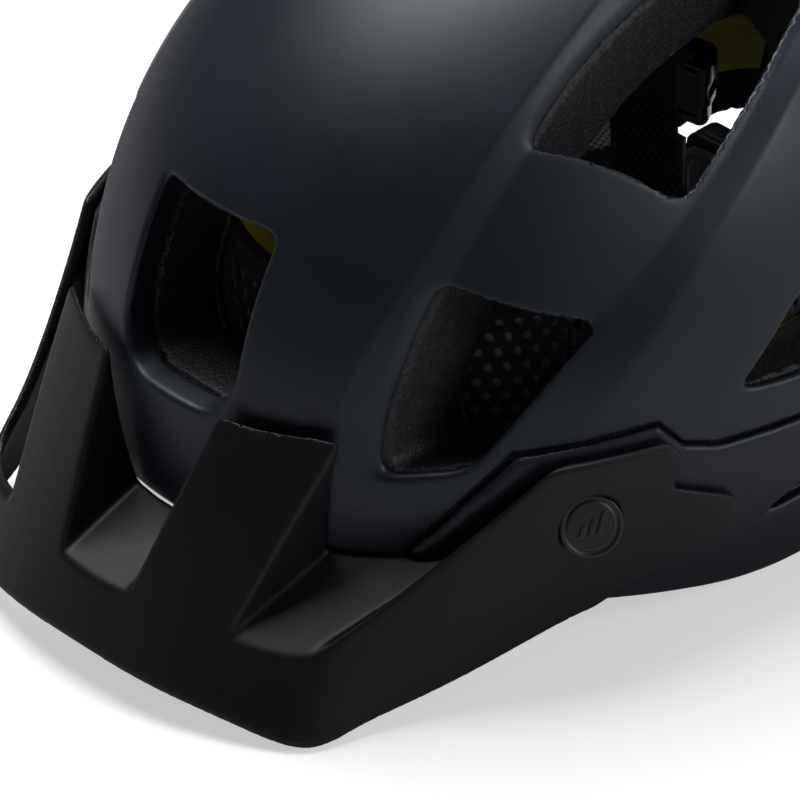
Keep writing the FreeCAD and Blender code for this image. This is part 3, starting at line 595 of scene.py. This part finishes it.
def softened(name, node, voxel, passes, body, material):
    """The CAD solid remeshed evenly, with its edges rounded over as a moulding's are."""
    temp = bpy.data.objects.new("temp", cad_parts[node].data.copy())
    bpy.context.scene.collection.objects.link(temp)
    mod = temp.modifiers.new("even", "REMESH")
    mod.mode = "VOXEL"
    mod.voxel_size = voxel * 0.001
    me = temp.evaluated_get(bpy.context.evaluated_depsgraph_get()).to_mesh()
    verts = np.empty(len(me.vertices) * 3, np.float32)
    me.vertices.foreach_get("co", verts)
    verts = verts.reshape(-1, 3).astype(float) * 1000 - (0, Y0, 0)
    loops = np.empty(len(me.loops), np.int32)
    me.loops.foreach_get("vertex_index", loops)
    sizes = np.empty(len(me.polygons), np.int32)
    me.polygons.foreach_get("loop_total", sizes)
    quads = loops.reshape(-1, 4) if (sizes == 4).all() else None
    bpy.data.objects.remove(temp)
    ends = [(quads[:, k], quads[:, (k + 1) % 4]) for k in range(4)]
    hits = sum(np.bincount(a, minlength=len(verts)) + np.bincount(b, minlength=len(verts)) for a, b in ends)
    for _ in range(passes):
        mean = np.zeros_like(verts)
        for a, b in ends:
            for i in range(3):
                mean[:, i] += (np.bincount(a, verts[b, i], len(verts))
                               + np.bincount(b, verts[a, i], len(verts)))
        verts = 0.5 * verts + 0.5 * mean / np.maximum(hits, 1)[:, None]
    o = mesh_object(name, verts, quads, corner_normals(verts, quads), material)
    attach(o, body)
    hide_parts(node)
    print(name, len(verts))
    return o


SAMPLED_GROW = 0.2  # keeps thin edges wide enough for the grid, in millimetres


def sampled(node, step, blur):
    """Distance field of a CAD solid, sampled near its surface and blurred, so that its edges come out
    round."""
    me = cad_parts[node].data
    me.calc_loop_triangles()
    verts = np.empty(len(me.vertices) * 3, np.float32)
    me.vertices.foreach_get("co", verts)
    verts = verts.reshape(-1, 3).astype(float) * 1000 - (0, Y0, 0)
    tris = np.empty(len(me.loop_triangles) * 3, np.int32)
    me.loop_triangles.foreach_get("vertices", tris)
    tree = BVHTree.FromPolygons(verts.tolist(), tris.reshape(-1, 3).tolist())
    lo = verts.min(0) - 4 * step
    n = (np.ceil((verts.max(0) + 4 * step - lo) / (4 * step)).astype(int)) * 4
    reach = 3.0 * step
    dist = np.full(n, reach)
    sub = np.stack(np.meshgrid(*[np.arange(4)] * 3, indexing="ij"), -1).reshape(-1, 3)
    find = tree.find_nearest
    for block in np.stack(np.meshgrid(*[np.arange(k // 4) for k in n], indexing="ij"), -1).reshape(-1, 3):
        if find((lo + step * (4 * block + 1.5)).tolist(), reach + 2.7 * step)[0] is None:
            continue
        for i in 4 * block + sub:
            hit = find((lo + step * i).tolist(), reach)
            if hit[3] is not None:
                dist[i[0], i[1], i[2]] = hit[3]
    inside = np.zeros(n, bool)
    cast = tree.ray_cast
    z0, top = lo[2] - 5, lo[2] + step * n[2] + 5
    for i in range(n[0]):
        x = lo[0] + step * i + 0.0137
        for j in range(n[1]):
            y, z, hits = lo[1] + step * j + 0.0111, z0, []
            while z < top:
                hit = cast((x, y, z), (0, 0, 1))
                if hit[0] is None:
                    break
                hits.append(hit[0][2])
                z = hit[0][2] + 1e-3
            for a, b in zip(hits[0::2], hits[1::2]):
                k0, k1 = math.ceil((a - lo[2]) / step), math.floor((b - lo[2]) / step)
                inside[i, j, max(k0, 0):k1 + 1] = True
    grid = np.where(inside, -dist, dist) - SAMPLED_GROW
    for _ in range(blur):
        for axis in range(3):
            grid = (np.roll(grid, 1, axis) + 2 * grid + np.roll(grid, -1, axis)) / 4

    def field(p):
        q = np.clip((p - lo) / step, 0, np.array(n) - 1.001)
        i = q.astype(int)
        t = q - i
        out = 0
        for c in CORNERS:
            w = np.prod(np.where(c == 1, t, 1 - t), axis=1)
            out = out + w * grid[i[:, 0] + c[0], i[:, 1] + c[1], i[:, 2] + c[2]]
        return out

    return field, verts.min(0), verts.max(0)


visor_field, lo, hi = sampled("visor", 0.75, 2)
field_piece("visor_moulding", visor_field, lo, hi, 0.95, "visor", ["visor"], VISOR, 3, 0.35)
softened("dial_wheel", "dial_knob", 0.45, 3, "dial", SOFT)
softened("cradle_housing", "dial_housing", 0.6, 2, "cradle", NYLON)
softened("cradle_cover", "housing_cover", 0.6, 2, "cradle", NYLON)
softened("cradle_rail", "cradle_guide", 0.6, 2, "slip", NYLON)
softened("belt_left", "band_left", 0.5, 2, "band_left", NYLON)
softened("belt_right", "band_right", 0.5, 2, "band_right", NYLON)
for side in ("left", "right"):
    softened("strap_divider_" + side, "divider_" + side, 0.5, 1, "helmet", NYLON)
    softened("strap_cam_" + side, "cam_" + side, 0.4, 1, "cam_" + side, NYLON)
softened("buckle_female", "buckle_socket", 0.5, 2, "helmet", ACETAL)
softened("buckle_male", "buckle_plug", 0.5, 2, "helmet", ACETAL)

FACING = np.array([0.82, -0.44, 0.36]) / math.sqrt(0.82 ** 2 + 0.44 ** 2 + 0.36 ** 2)
CAP_UP = np.array([0.0, 0.0, 1.0]) - FACING * FACING[2]
CAP_UP /= np.linalg.norm(CAP_UP)
CAP_ACROSS = np.cross(CAP_UP, FACING)


def cap(p):
    """Flush screw cap: a ring groove round three raised bars."""
    q = np.stack([np.abs(p[:, 0]), p[:, 1], p[:, 2]], 1) - PIVOT
    axial, u, v = q @ FACING, q @ CAP_ACROSS, q @ CAP_UP
    r = np.hypot(u, v)
    top = 0.5 - 0.45 * np.exp(-((r - 6.9) / 0.42) ** 2)
    lean = u - 0.35 * v
    bars = smin(smin(np.maximum(np.abs(lean + 2.4) - 0.62, np.abs(v + 0.9) - 1.5),
                     np.maximum(np.abs(lean) - 0.62, np.abs(v + 0.2) - 2.2), 0.1),
                np.maximum(np.abs(lean - 2.4) - 0.62, np.abs(v - 0.5) - 2.9), 0.1)
    top = top + 0.32 * (1 - sm(bars, -0.15, 0.15))
    f = smax(axial - top, r - 8.4, 0.7)
    return smax(f, -(axial + 1.5), 0.2)


for side, s in (("left", 1), ("right", -1)):
    lo, hi = np.array((84.0, -85, 36)), np.array((98.0, -66, 55))
    if s < 0:
        lo[0], hi[0] = -98.0, -84.0
    field_piece("screw_cap_" + side, cap, lo, hi, 0.3, "visor", ["pivot_cap_" + side], TRIM, 1, 0.08)


# ------------------------------------------------------------------ pads
PITCH = 4.6


def perforation(u, v):
    row = np.floor(v / (PITCH * 0.87))
    du = (u / PITCH + 0.5 * np.mod(row, 2)) % 1.0 - 0.5
    return np.hypot(du * PITCH, (v - (row + 0.5) * PITCH * 0.87) / 1.4) - 1.02


def pad_field(edge, uv, depth=5.9, half=2.3):
    def parts(p):
        c = dome(p, CAVITY) + depth
        e = edge(p)
        s = np.clip(-e / 7, 0, 1)
        t = 0.7 + (half - 0.7) * np.sqrt(1 - (1 - s) ** 2) - 0.5 * np.exp(-((-e - 2.4) / 0.7) ** 2)
        hole = np.where(e < -4.6, perforation(*uv(p)), 3.0)
        return c, e, t, hole

    def field(p):
        c, e, t, hole = parts(p)
        f = smax(np.abs(c) - t, e, 1.0)
        return smax(f, -np.maximum(hole, t - 1.3 - np.abs(c)), 0.5)

    def mark(p):
        c, e, t, hole = parts(p)
        return 1 - sm(hole, -0.35, 0.1)

    return field, mark


def pad_piece(name, node, edge, uv, lo, hi, step=0.85):
    field, mark = pad_field(edge, uv)
    verts, quads, normals = surface(field, lo, hi, step, 1, 0.2)
    o = mesh_object(name, verts, quads, normals, PAD)
    a = o.data.attributes.new("hole", "FLOAT", "POINT")
    a.data.foreach_set("value", mark(verts).astype(np.float32))
    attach(o, "slip")
    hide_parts(node)
    print(name, len(verts))


BROW = [(-150, 50), (-150, 89), (-95, 91), (-36, 97), (-36, 58), (-80, 50)]
TEMPLE = [(-28, 58), (-28, 96), (24, 100), (24, 60)]
CROWN = [(-13, -58), (13, -58), (13, 52), (-13, 52)]
SIDE = [(22, -60), (38, -66), (40, 40), (24, 44)]
pad_piece("brow_cushion", "brow_pad", lambda p: convex(p[:, 1], p[:, 2], BROW, 6),
          lambda p: (np.arctan2(p[:, 0], -(p[:, 1] - 2)) * 88, p[:, 2]), (-76, -106, 48), (76, -34, 98), 0.7)
pad_piece("crown_cushion", "crown_pad",
          lambda p: np.maximum(convex(p[:, 0], p[:, 1], CROWN, 8), 80 - p[:, 2]),
          lambda p: (p[:, 0], p[:, 1]), (-14, -60, 124), (14, 54, 147))
for side, s in (("left", 1), ("right", -1)):
    x = sorted((s * 62, s * 81))
    pad_piece("temple_cushion_" + side, "temple_pad_" + side, lambda p: convex(p[:, 1], p[:, 2], TEMPLE, 9),
              lambda p: (p[:, 1], p[:, 2]), (x[0], -30, 56), (x[1], 26, 101), 0.6)
    x = sorted((s * 20, s * 42))
    pad_piece("side_cushion_" + side, "side_pad_" + side,
              lambda p: convex(np.abs(p[:, 0]), p[:, 1], SIDE, 6),
              lambda p: (p[:, 0], p[:, 1]), (x[0], -67, 107), (x[1], 46, 145))


def cradle_cushion(p):
    e = smax(np.abs(p[:, 0]) - 27, np.abs(p[:, 2] - 24) - 11, 5)
    s = np.clip(-e / 6, 0, 1)
    t = 0.8 + 1.5 * np.sqrt(1 - (1 - s) ** 2) - 0.4 * np.exp(-((-e - 2.2) / 0.7) ** 2)
    return smax(np.abs(p[:, 1] - 81.35) - t, e, 1.0)


field_piece("cradle_cushion", cradle_cushion, (-28, 78, 12), (28, 85, 36), 0.8, "cradle",
                      ["cradle_pad"], PAD, 1, 0.2)


# ------------------------------------------------------------------ webbing
def webbing(name, node, points, turns, width=18.0, thick=1.6):
    """Woven strap along a smooth line, with selvedges, its UVs in metres along and across."""
    line, wide = smooth_line(points, 14), smooth_line(turns, 14)
    along = np.gradient(line, axis=0)
    along /= np.linalg.norm(along, axis=1)[:, None]
    side = wide - along * (wide * along).sum(1)[:, None]
    side /= np.linalg.norm(side, axis=1)[:, None]
    face = np.cross(along, side)
    length = np.concatenate([[0], np.cumsum(np.linalg.norm(np.diff(line, axis=0), axis=1))])
    across = np.concatenate([np.linspace(-1, 1, 17), np.linspace(1, -1, 17)[1:-1]])
    a = np.abs(across)
    bulge = thick / 2 * np.where(a > 0.86, 0.92, 0.8) * np.sqrt(np.clip(1 - a ** 14, 0, 1))
    up = np.concatenate([np.ones(17), -np.ones(15)])
    n, m = len(line), len(across)
    verts = (line[:, None] + side[:, None] * (across * width / 2)[None, :, None]
             + face[:, None] * (bulge * up)[None, :, None]).reshape(-1, 3)
    i, j = np.meshgrid(np.arange(n - 1), np.arange(m), indexing="ij")
    k = (j + 1) % m
    quads = np.stack([i * m + j, i * m + k, (i + 1) * m + k, (i + 1) * m + j], -1).reshape(-1, 4)
    o = mesh_object(name, verts, quads, None, WEBBING)
    bm = bmesh.new()
    bm.from_mesh(o.data)
    bmesh.ops.contextual_create(bm, geom=[e for e in bm.edges if e.is_boundary])
    bmesh.ops.recalc_face_normals(bm, faces=bm.faces)
    bm.to_mesh(o.data)
    bm.free()
    uv = o.data.uv_layers.new(name="weave")
    index = np.empty(len(o.data.loops), np.int32)
    o.data.loops.foreach_get("vertex_index", index)
    flat = np.stack([length[index // m], across[index % m] * width / 2 + 20], 1) * 0.001
    uv.data.foreach_set("uv", flat.astype(np.float32).ravel())
    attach(o, "helmet")
    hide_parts(node)
    return o


FRONT_STRAP = [(82, -44, 12.4), (79, -42, 9), (70, -35, 8.5), (61, -27, 11), (51, -19, 16.5), (44.5, -12, 18)]
FRONT_TURNS = [(0.6, 0.8, 0), (0.6, 0.8, 0), (0.6, 0.8, 0), (0.5, 0.65, 0.5), (0.2, 0.2, 0.95), (0, 0, 1)]
REAR_STRAP = [(77, 62, 12.4), (75, 59, 8.5), (66, 50, 7), (58, 38, 9), (50, 26, 15.5), (45.5, 18, 17)]
REAR_TURNS = [(-0.8, 0.6, 0), (-0.8, 0.6, 0), (-0.8, 0.5, 0.1), (-0.6, 0.4, 0.5), (-0.25, 0.15, 0.95),
              (0, 0, 1)]
CHIN_LEFT = [(44, 2, 27), (43, 3, 40), (33, 9, 60), (15, 21, 80), (0, 37, 93), (-6, 50, 91)]
CHIN_LEFT_TURNS = [(0, 1, 0), (0, 1, 0.1), (0.3, 1, 0.2), (0.62, 0.78, 0), (0.75, 0.35, -0.5),
                   (0.95, 0.1, -0.25)]
CHIN_RIGHT = [(-29, 76, 43), (-36, 67, 42), (-41, 50, 48), (-43, 32, 53), (-43.5, 14, 49), (-44, 4, 38),
              (-44, 2, 28.2)]
CHIN_RIGHT_TURNS = [(0.9, 0.4, 0), (0.8, 0.5, -0.1), (0.6, 0.3, -0.6), (0.2, 0.1, -0.95), (0, 0.75, -0.65),
                    (0, 1, -0.1), (0, 1, 0)]
for label, points, turns in (("strap_front", FRONT_STRAP, FRONT_TURNS),
                             ("strap_rear", REAR_STRAP, REAR_TURNS)):
    webbing("web_" + label + "_left", label + "_left", points, turns)
    webbing("web_" + label + "_right", label + "_right", [(-a, b, c) for a, b, c in points],
            [(-a, b, c) for a, b, c in turns])
webbing("web_chin_left", "chin_strap_left", CHIN_LEFT, CHIN_LEFT_TURNS)
webbing("web_chin_right", "chin_strap_right", CHIN_RIGHT, CHIN_RIGHT_TURNS)

# ------------------------------------------------------------------ floor, light, camera
def area_light(name, at, target, size, power, color=(1, 1, 1)):
    data = bpy.data.lights.new(name, "AREA")
    data.shape = "RECTANGLE"
    data.size, data.size_y = size
    data.energy = power
    data.color = color
    o = bpy.data.objects.new(name, data)
    o.location = at
    o.rotation_euler = (Vector(target) - Vector(at)).to_track_quat("-Z", "Y").to_euler()
    bpy.context.scene.collection.objects.link(o)
    return o


bpy.ops.mesh.primitive_plane_add(size=14, location=(0, 0, 0))
floor = bpy.context.object
floor.name = "floor"
FLOOR_GLOW = 0.53  # lifts the shadow on the paper, as the photo's is; lights nothing else
m = Nodes("floor_paper")
paper = m.ramp(m.noise(3, 2), [(0.3, (0.5, 0.5, 0.505)), (0.7, (0.53, 0.53, 0.535))])
floor.data.materials.append(m.finish(paper, 0.9, None, Specular_IOR_Level=0.1, Emission_Color=(1, 1, 1, 1)))
seen = m.add("ShaderNodeLightPath").outputs["Is Camera Ray"]
m.put(m.bsdf.inputs["Emission Strength"], m.math("MULTIPLY", seen, FLOOR_GLOW))

world = bpy.data.worlds.new("studio")
bpy.context.scene.world = world
world.use_nodes = True
tree = world.node_tree
plain = tree.nodes["Background"]
plain.inputs[0].default_value = (0.86, 0.92, 1.0, 1)
plain.inputs[1].default_value = 0.07
white = tree.nodes.new("ShaderNodeBackground")
white.inputs[0].default_value = (1, 1, 1, 1)
white.inputs[1].default_value = 1.0
path = tree.nodes.new("ShaderNodeLightPath")
both = tree.nodes.new("ShaderNodeMixShader")
tree.links.new(path.outputs["Is Camera Ray"], both.inputs[0])
tree.links.new(plain.outputs[0], both.inputs[1])
tree.links.new(white.outputs[0], both.inputs[2])
tree.links.new(both.outputs[0], tree.nodes["World Output"].inputs["Surface"])

area_light("top", (-0.55, 0.25, 1.7), (0, 0, 0.08), (1.1, 1.1), 38)
area_light("left", (-1.5, -0.7, 0.7), (0, 0, 0.08), (0.7, 1.0), 0.4)
area_light("right", (1.5, 0.9, 0.9), (0, 0, 0.08), (0.8, 0.9), 12)
bpy.context.scene.view_settings.view_transform = "Standard"

AZIMUTH, ELEVATION = math.radians(45.96), math.radians(33.14)
DISTANCE, FOCAL = 1.98888, 7759.02
PRINCIPAL = (384.16, 163.37)
target = Vector(place((0, -60, 105)))
level = math.cos(ELEVATION)
back = Vector((math.sin(AZIMUTH) * level, -math.cos(AZIMUTH) * level, math.sin(ELEVATION)))
right = Vector((math.cos(AZIMUTH), math.sin(AZIMUTH), 0))
up = back.cross(right)
aim = -back * FOCAL + right * (400 - PRINCIPAL[0]) - up * (400 - PRINCIPAL[1])
camera_data = bpy.data.cameras.new("camera")
camera = bpy.data.objects.new("camera", camera_data)
camera.location = target + back * DISTANCE
camera.rotation_euler = aim.to_track_quat("-Z", "Y").to_euler()
camera_data.sensor_width = 36
camera_data.lens = aim.length * 36 / 800
camera_data.clip_start = 0.05
bpy.context.scene.collection.objects.link(camera)
bpy.context.scene.camera = camera
